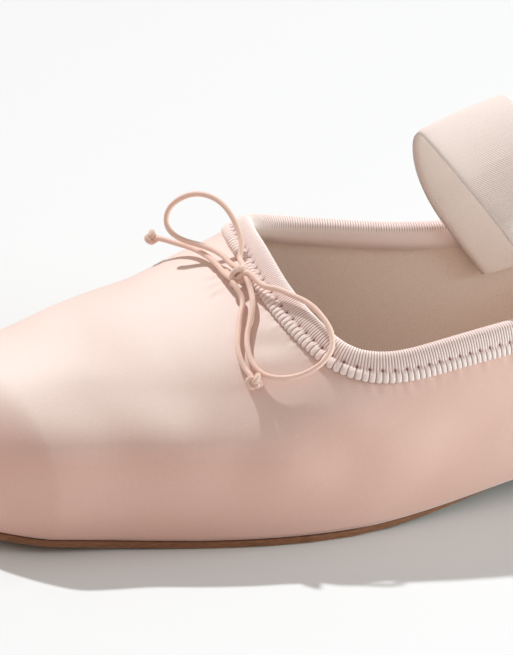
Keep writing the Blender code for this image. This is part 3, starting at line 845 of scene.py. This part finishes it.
knot_middle = spot_of(KNOT_PLACE)
bow_parts = {}
for side, loop, tail, tail_knot, comes_out in (
        ("near", NEAR_LOOP_ROUTE, NEAR_TAIL_ROUTE, NEAR_TAIL_KNOT, (0.6880, -0.175)),
        ("far", FAR_LOOP_ROUTE, FAR_TAIL_ROUTE, FAR_TAIL_KNOT, (0.6885, -0.120))):
    sign = -1 if side == "near" else 1
    exit_point = off_last(*comes_out, 0.0001)
    route = [exit_point, off_last(comes_out[0] - 0.001, comes_out[1], 0.0013)]
    route.append(knot_middle + np.array([-0.0008, 0.0003 * sign, -0.0009]))
    route.append(knot_middle + np.array([0.0009, 0.0011 * sign, 0.0006]))
    route += [spot_of(row) for row in loop[1:-1]]
    route.append(knot_middle + np.array([0.0010, 0.0014 * sign, -0.0001]))
    route.append(knot_middle + np.array([0.0004, -0.0005 * sign, -0.0004]))
    route.append(knot_middle + np.array([-0.0012, -0.0005 * sign, -0.0008]))
    route.append(knot_middle + np.array([-0.0020, 0.0014 * sign, -0.0012]))
    end = spot_of(tail_knot)
    route += [spot_of(row) for row in tail[2:]]
    way = unit(end - spot_of(tail[-1]))
    route += [end, end + way * 0.0019]
    line, length = smooth_route(route, 0.00045)
    cord = rolled_cord("bow_cord_" + side, line, CORD_RADIUS, cord_finish)
    bow_parts[side] = (cord, exit_point, line, length, end, way)
    print(side, "cord", round(length * 1000), "mm")

# %% [markdown]
# A knot is the same cord, wound tight. The tail knots are trefoils drawn small
# round the cord's end, and the bow's knot is a turn and a half over the
# crossing of the loops.

# %% Knots
def tail_knot(name, middle, way, size):
    """A small overhand knot round the end of a tail."""
    turn = np.linspace(0, 2 * pi, 97)[:-1]
    flat = np.stack([np.sin(turn) + 2 * np.sin(2 * turn),
                     np.cos(turn) - 2 * np.cos(2 * turn),
                     -1.3 * np.sin(3 * turn)], -1) * size
    axis = unit(np.asarray(way))
    side = unit(np.cross(axis, (0.2, 0.3, 1.0)))
    line = middle + flat @ np.stack([side, np.cross(axis, side), axis])
    return rolled_cord(name, np.concatenate([line, line[:1]]), CORD_RADIUS,
                       cord_finish, 12, closed=True)


def bow_wrap(name, middle):
    """The tight turn of cord over the crossing."""
    turn = np.linspace(0, 4 * pi, 145)
    along = unit(np.array([0.10, 1.0, 0.10]))
    up = unit(np.array([-0.20, -0.25, 1.0]))
    up = unit(up - along * np.dot(up, along))
    fore = np.cross(along, up)
    wide = 1 + 0.10 * np.cos(turn / 2)
    line = (middle + (np.cos(turn) * wide)[:, None] * up * 0.00135
            + (np.sin(turn) * wide)[:, None] * fore * 0.00185
            + np.sin(turn / 2)[:, None] * along * 0.00075)
    return rolled_cord(name, line, CORD_RADIUS, cord_finish, 14, closed=True)


wrap = bow_wrap("bow_knot_wrap", knot_middle)
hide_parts("bow_knot")
for side in ("near", "far"):
    cord, exit_point, line, length, end, way = bow_parts[side]
    size = 0.00056 if side == "near" else 0.00048
    tail_knot("tail_knot_wound_" + side, end, way, size)
    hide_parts("tail_knot_" + side)
    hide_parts("bow_loop_" + side, "bow_tail_" + side)
    tuple(exit_point)
    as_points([tuple(spot) for spot in line[::4]] + [tuple(line[-1])])

# %% [markdown]
# Satin on a worn shoe isn't a smooth shell. It dips where the toes bend, pulls
# in under the binding and gathers where the drawstring comes out. Each crease
# is a line on the last, with a width and a depth.

# %% Creases of the satin
# station and across at the start and the end, width and depth in millimetres
CREASES = (
    (.920, -.56, .680, -.74, 8.0, -0.85),
    (.800, -.10, .770, -.52, 9.0, 0.55),
    (.745, -.30, .735, -.62, 6.0, -0.35),
    (.690, -.55, .740, -.80, 7.0, 0.45),
    (.610, -.80, .680, -.72, 6.0, 0.40),
    (.540, -.78, .600, -.86, 6.5, -0.35),
    (.660, -.45, .700, -.40, 3.0, 0.25),
    (.860, -.45, .820, -.75, 7.0, 0.35),
    (.900, -.10, .880, .300, 8.0, 0.30),
    (.760, .250, .740, .600, 8.0, 0.50),
    (.680, .550, .720, .780, 6.0, 0.45),
    (.590, .700, .640, .820, 6.0, 0.40),
    (.470, -.82, .560, -.90, 6.0, 0.30),
    (.300, -.75, .420, -.84, 8.0, 0.35),
    (.120, -.72, .230, -.80, 7.0, 0.30),
    (.130, .730, .250, .800, 7.0, 0.30),
    (.350, .740, .480, .800, 7.0, 0.35),
    (.696, -.165, .712, -.190, 0.9, 0.32),
    (.695, -.135, .714, -.140, 0.8, 0.30),
    (.694, -.105, .712, -.085, 0.9, 0.30),
    (.692, -.075, .706, -.045, 0.8, 0.20),
)


def crease_depth(points):
    """How far creases draw the satin in at each point."""
    depth = np.zeros(len(points))
    for start, side, end, far_side, width, deep in CREASES:
        part = np.linspace(0, 1, 25)
        around = round_of(start + (end - start) * part)
        line = last_point(around, side + (far_side - side) * part)
        fade = np.sin(pi * (0.08 + 0.84 * part)) ** 0.7
        gap = np.linalg.norm(points[:, None] - line[None], axis=2) / (width / 1000)
        trough = (np.exp(-gap ** 2) * fade).max(1)
        bank = (np.exp(-(gap - 1.5) ** 2 / 0.5) * fade).max(1)
        depth += deep / 1000 * (trough - 0.35 * bank * (1 - trough))
    return depth


rim_shares_fine = np.linspace(0, 1, 700)
rim_fine = topline_point(rim_shares_fine)


def gathers(points):
    """Small puckers that the binding's stitching leaves in the satin."""
    gap = np.linalg.norm(points[:, None] - rim_fine[None], axis=2)
    share, below = rim_shares_fine[gap.argmin(1)], gap.min(1)
    wave = np.sin(2 * pi * share * 190) + 0.6 * np.sin(2 * pi * share * 117)
    return 0.00008 * wave * np.exp(-((below - 0.0066) / 0.0018) ** 2)


# %% [markdown]
# The upper is laid in three cloths that meet along the same corners: the outer
# wall, the inner wall and the vamp. A thin wall then gives it its lining side.

# %% Satin upper
WALL_LONG = 190
WALL_HIGH = 44
THROAT_LONG = 84
VAMP_LONG = 150
outer_corner, inner_corner = topline_share(OUTER_CORNER), topline_share(INNER_CORNER)


def on_satin(around, across):
    """Points on the satin with its creases and gathers."""
    points = np.empty((len(around), 3))
    out = np.empty((len(around), 3))
    for k in range(0, len(around), 3000):
        cut = slice(k, k + 3000)
        points[cut] = last_point(around[cut], across[cut])
        out[cut] = last_frame(around[cut], np.clip(across[cut], -0.9995, 0.9995))[2]
        near_sole = np.clip((1 - np.abs(across[cut])) / 0.05, 0, 1)
        sunk = (crease_depth(points[cut]) - gathers(points[cut])) * near_sole
        points[cut] -= out[cut] * sunk[:, None]
    return points, {}


def wall_cloth(first, last, edge):
    """One side wall, from the sole to the topline."""
    shares = even_shares(topline_point, WALL_LONG, first, last)
    top_round, top_across = topline_at(shares)
    if edge > 0:
        shares, top_round, top_across = shares[::-1], top_round[::-1], top_across[::-1]
    even = np.linspace(0, top_round[-1], len(shares))
    foot_round = even * (1 - FOOT_FOLLOWS_RIM) + top_round * FOOT_FOLLOWS_RIM

    def place(u, v):
        k = np.rint(u * WALL_LONG).astype(int)
        around = foot_round[k] * (1 - v) + top_round[k] * v
        across = edge * (1 - v) + top_across[k] * v
        return on_satin(around, across)
    corner_v = np.linspace(0, 1, WALL_HIGH + 1)
    corner = (foot_round[-1] * (1 - corner_v) + top_round[-1] * corner_v,
              edge * (1 - corner_v) + top_across[-1] * corner_v)
    return laid_cloth(WALL_LONG, WALL_HIGH, place), corner


outer_wall, outer_edge = wall_cloth(0, outer_corner, -1.0)
inner_wall, inner_edge = wall_cloth(inner_corner, 1, 1.0)
throat_shares = even_shares(topline_point, THROAT_LONG, outer_corner, inner_corner)
throat_round, throat_across = topline_at(throat_shares)
rear_round = np.concatenate([outer_edge[0], throat_round[1:-1], inner_edge[0][::-1]])
rear_across = np.concatenate([outer_edge[1], throat_across[1:-1], inner_edge[1][::-1]])
VAMP_ACROSS = len(rear_round) - 1


def vamp_place(u, v):
    """The vamp, from the throat (v = 0) to the toe (v = 1)."""
    k = np.rint(u * VAMP_ACROSS).astype(int)
    part = v + 0.25 * v * (1 - v)
    front = np.linspace(-1, 1, VAMP_ACROSS + 1)
    around = rear_round[k] * (1 - part) + ROUND_END * part
    across = rear_across[k] * (1 - part) + front[k] * part
    return on_satin(around, across)


vamp = laid_cloth(VAMP_ACROSS, VAMP_LONG, vamp_place)
upper = sewn_piece("satin_upper", [outer_wall, inner_wall, vamp], [satin, lining])
wall = upper.modifiers.new("wall", "SOLIDIFY")
wall.thickness = UPPER_WALL
wall.offset = -1
wall.material_offset = 1
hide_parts("upper")

# %% [markdown]
# The lower edge of a lasted upper is turned in over the sole and cemented. The
# photograph doesn't show it. It is here because light came through a gap that
# the solid model has between wall, insole and sole at the inner waist, so a thin
# flat band is laid round the feather line to close it.

# %% Lasting margin
MARGIN_WIDTH = 0.0055
MARGIN_THICKNESS = 0.00008
side_round = np.linspace(0, ROUND_END, 241)
toe_across = np.linspace(-1, 1, 41)[1:-1]
feather = np.concatenate([last_point(side_round, -1.0), last_point(ROUND_END, toe_across),
                          last_point(side_round[::-1], 1.0)])
spine = (last_point(side_round, -1.0) + last_point(side_round, 1.0))[32:200] / 2
feather_walk = np.concatenate(
    [[0], np.cumsum(np.linalg.norm(np.diff(feather, axis=0), axis=1))])


def margin_place(u, v):
    """The band: u round the shoe, v round its thin section."""
    walked = u * feather_walk[-1]
    points = np.stack([np.interp(walked, feather_walk, feather[:, k]) for k in range(3)], -1)
    inward = spine[np.linalg.norm(points[:, None] - spine[None], axis=2).argmin(1)] - points
    inward[:, 2] = 0
    side = np.rint(v * 4).astype(int) % 4
    width = np.where((side == 1) | (side == 2), MARGIN_WIDTH, 0.0005)
    points += unit(inward) * width[:, None]
    points[:, 2] -= PIECE_GAP / 2 + np.where(side < 2, 0.5, -0.5) * MARGIN_THICKNESS
    return points, {}


margin = sewn_piece("lasting_margin", [laid_cloth(420, 4, margin_place)], [satin])

# %% [markdown]
# The binding is a ribbed tape folded over the rim and sewn through. Its ribs
# run over the fold, a row of stitches pulls them in, and the part below the
# stitches stands out in small lumps between the needle holes.

# %% Ribbed binding
RIB_PITCH = 0.00064
STITCH_DEPTH = 0.0034
coarse = np.concatenate([
    even_shares(topline_point, 150, 0, outer_corner)[:-1],
    even_shares(topline_point, 90, outer_corner, inner_corner)[:-1],
    even_shares(topline_point, 150, inner_corner, 1)])
rim_round, rim_across = topline_at(coarse)
rim = last_point(rim_round, rim_across)
rim_out = last_frame(rim_round, rim_across)[2]
rim_run = unit(topline_point(coarse + 1e-3) - topline_point(coarse - 1e-3))
rim_down = unit(np.cross(rim_out, rim_run))
rim_walk = np.concatenate([[0], np.cumsum(np.linalg.norm(np.diff(rim, axis=0), axis=1))])
RIM_LENGTH = float(rim_walk[-1])
RIBS = int(RIM_LENGTH / RIB_PITCH)
STITCHES = RIBS // 4
RIBS = STITCHES * 4
print("rim", round(RIM_LENGTH * 1000), "mm,", RIBS, "ribs,", STITCHES, "stitches")

# depth down from the rim and height outside the wall, in millimetres
TAPE_PROFILE = (
    (6.15, 0.25), (6.10, 0.80), (5.60, 1.10), (5.00, 1.25), (4.40, 1.25), (3.90, 1.10),
    (3.55, 0.85), (3.25, 0.85), (2.90, 1.10), (2.20, 1.30), (1.40, 1.42), (0.60, 1.48),
    (-0.20, 1.42), (-0.95, 1.05), (-1.30, 0.10), (-1.42, -0.80), (-1.30, -1.75),
    (-0.80, -2.60), (0.20, -2.95), (2.40, -2.95), (5.00, -2.80), (5.00, -2.10),
    (2.00, -1.95), (2.00, 0.22),
)
profile = np.array(TAPE_PROFILE) / 1000
rings = []
for depth, height in profile:
    if depth > 0:
        walked_to = walk(rim_round, rim_across, rim_down, depth, 4)
        rings.append((last_point(*walked_to), last_frame(*walked_to)[2], height))
    else:
        rings.append((rim + depth * rim_down, rim_out, height))
tape_at = np.stack([at + out * height for at, out, height in rings])
fold = unit(np.stack([out for _at, out, _height in rings]))
lean = np.clip(-profile[:, 0] / 0.0012, 0, 1)
fold = unit(fold * np.where(profile[:, 1] > -0.0008, 1.0, -1.0)[:, None, None]
            * (1 - lean)[:, None, None] - rim_down[None] * lean[:, None, None])
shown = (np.arange(len(profile)) < 18).astype(float)


def tape_place(u, v):
    """The tape: u along the rim, v round its folded section."""
    k = np.rint(v * len(profile)).astype(int) % len(profile)
    walked = u * RIM_LENGTH
    points = np.empty((len(u), 3))
    out = np.empty((len(u), 3))
    for row in range(len(profile)):
        here = k == row
        for axis in range(3):
            points[here, axis] = np.interp(walked[here], rim_walk, tape_at[row, :, axis])
            out[here, axis] = np.interp(walked[here], rim_walk, fold[row, :, axis])
    depth = profile[k, 0]
    outside = (profile[k, 1] > 0).astype(float)
    rib = np.abs(np.sin(pi * u * RIBS)) ** 0.8 - 0.6
    lobe = np.abs(np.sin(pi * u * STITCHES * 2)) ** 0.6 - 0.7
    stitch = np.cos(pi * u * STITCHES) ** 2
    below = np.clip((depth - 0.0037) / 0.0006, 0, 1) * outside
    at_hole = np.exp(-((depth - STITCH_DEPTH) / 0.0004) ** 2) * outside
    form = rib * (1 - 0.7 * below) + 1.3 * lobe * below
    rise = shown[k] * 0.00019 * form * (1 - 0.5 * at_hole) - at_hole * 0.00025 * stitch ** 3
    points += out * rise[:, None]
    hang = np.clip((depth - 0.0044) / 0.0016, 0, 1) * outside * 0.00050 * (lobe + 0.1)
    for axis in range(3):
        points[:, axis] += hang * np.interp(walked, rim_walk, rim_down[:, axis])
    # Painted shade: the grooves between ribs and the needle holes get a shade mark that darkens
    # their colour.
    painted_groove_shade = shown[k] * np.clip(-form - 0.05, 0, 0.55) * 0.95
    shade = np.maximum(painted_groove_shade, at_hole * stitch ** 8)
    return points, {"shade": np.clip(shade, 0, 1)}


binding = sewn_piece(
    "binding_tape", [laid_cloth(RIBS * 4, len(profile), tape_place)], [tape], weld=1e-6)
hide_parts("binding")

# %% [markdown]
# The strap is woven elastic. Fine ribs run across it, and its long edges are
# bound by a denser thread. Its ends lie inside the walls, where they are sewn.

# %% Ribbed strap
STRAP_RIB_PITCH = 0.00046
strap_table = np.array(STRAP_EDGES)
strap_across = np.linspace(strap_table[0, 0], strap_table[-1, 0], 81)
strap_front = round_of(smooth_table(strap_table[:, 0], strap_table[:, 1], strap_across))
strap_rear = round_of(smooth_table(strap_table[:, 0], strap_table[:, 2], strap_across))
width_share = np.linspace(0, 1, 25)
strap_round = strap_front[:, None] * (1 - width_share) + strap_rear[:, None] * width_share
strap_sides = np.repeat(strap_across[:, None], len(width_share), 1)
settle = np.clip((np.abs(strap_sides) - STRAP_LEAVES) / (STRAP_SETTLED - STRAP_LEAVES), 0, 1)
settle = STRAP_SETTLE * settle ** 2 * (3 - 2 * settle)
strap_out = last_frame(strap_round.ravel(), strap_sides.ravel())[2]
strap_out = strap_out.reshape(strap_round.shape + (3,))
strap_middle = last_point(strap_round, strap_sides) - strap_out * (
    settle + STRAP_THICKNESS / 2)[..., None]
middle_line = strap_middle[:, 12]
strap_walk = np.concatenate(
    [[0], np.cumsum(np.linalg.norm(np.diff(middle_line, axis=0), axis=1))])
STRAP_LENGTH = float(strap_walk[-1])
STRAP_RIBS = int(STRAP_LENGTH / STRAP_RIB_PITCH)
STRAP_ROUND = 2 * (len(width_share) - 1)
print("strap", round(STRAP_LENGTH * 1000), "mm,", STRAP_RIBS, "ribs")


def strap_place(u, v):
    """The strap: u along it, v round its flat section."""
    k = np.rint(v * STRAP_ROUND).astype(int) % STRAP_ROUND
    top = k <= len(width_share) - 1
    column_of = np.where(top, k, STRAP_ROUND - k)
    walked = u * STRAP_LENGTH
    row = np.clip(np.searchsorted(strap_walk, walked) - 1, 0, len(strap_walk) - 2)
    part = (walked - strap_walk[row]) / (strap_walk[row + 1] - strap_walk[row])
    part = part[:, None]
    at = strap_middle[row, column_of] * (1 - part) + strap_middle[row + 1, column_of] * part
    out = strap_out[row, column_of] * (1 - part) + strap_out[row + 1, column_of] * part
    share = column_of / (len(width_share) - 1)
    thick = STRAP_THICKNESS / 2 * (1 - np.abs(2 * share - 1) ** 14)
    rib = 0.00005 * np.cos(2 * pi * u * STRAP_RIBS)
    edge = 0.00004 * (np.abs(2 * share - 1) > 0.86)
    rise = (thick + (rib + edge) * (thick > 0.0001)) * np.where(top, 1, -1)
    return at + out * rise[:, None], {}


strap = sewn_piece("elastic_strap", [laid_cloth(STRAP_RIBS * 4, STRAP_ROUND, strap_place)],
                   [elastic], weld=1e-6, fill_ends=True)
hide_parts("strap")

# %% [markdown]
# A plain pale floor and a hard light from above and behind, softened by a bright
# studio. The light falls towards the viewer, so the near side turns to shade low
# down. A weaker light from the heel's side lifts the rear wall. Their strengths
# and colours were found by trying, and the floor shadow still differs.

# %% Floor and light
floor_work = bmesh.new()
bmesh.ops.create_grid(floor_work, x_segments=1, y_segments=1, size=4.0)
floor_mesh = bpy.data.meshes.new("studio_floor")
floor_work.to_mesh(floor_mesh)
floor_work.free()
floor = bpy.data.objects.new("studio_floor", floor_mesh)
bpy.context.scene.collection.objects.link(floor)
floor_paint, tree, shader = finish("studio_white", (0.745, 0.755, 0.765), 0.7)
floor_mesh.materials.append(floor_paint)

sun_data = bpy.data.lights.new("key_light", "SUN")
sun_data.energy = 2.6
sun_data.color = (0.94, 0.98, 1.0)
sun_data.angle = np.radians(2.2)
sun = bpy.data.objects.new("key_light", sun_data)
bpy.context.scene.collection.objects.link(sun)
sun.rotation_euler = Vector((-0.13, 0.76, 1.0)).to_track_quat("Z", "Y").to_euler()

fill_data = bpy.data.lights.new("side_fill", "AREA")
fill_data.energy = 14.0
fill_data.color = (0.78, 0.98, 1.0)
fill_data.size = 0.5
fill = bpy.data.objects.new("side_fill", fill_data)
bpy.context.scene.collection.objects.link(fill)
fill.location = (0.92, -0.30, 0.16)
fill.rotation_euler = Vector((1.0, -0.26, 0.13)).to_track_quat("Z", "Y").to_euler()

world = bpy.data.worlds.new("studio_air")
world.use_nodes = True
world.node_tree.nodes["Background"].inputs["Color"].default_value = (1.0, 0.885, 0.81, 1)
world.node_tree.nodes["Background"].inputs["Strength"].default_value = 0.51
bpy.context.scene.world = world
bpy.context.scene.view_settings.view_transform = "Standard"
print("lights set")
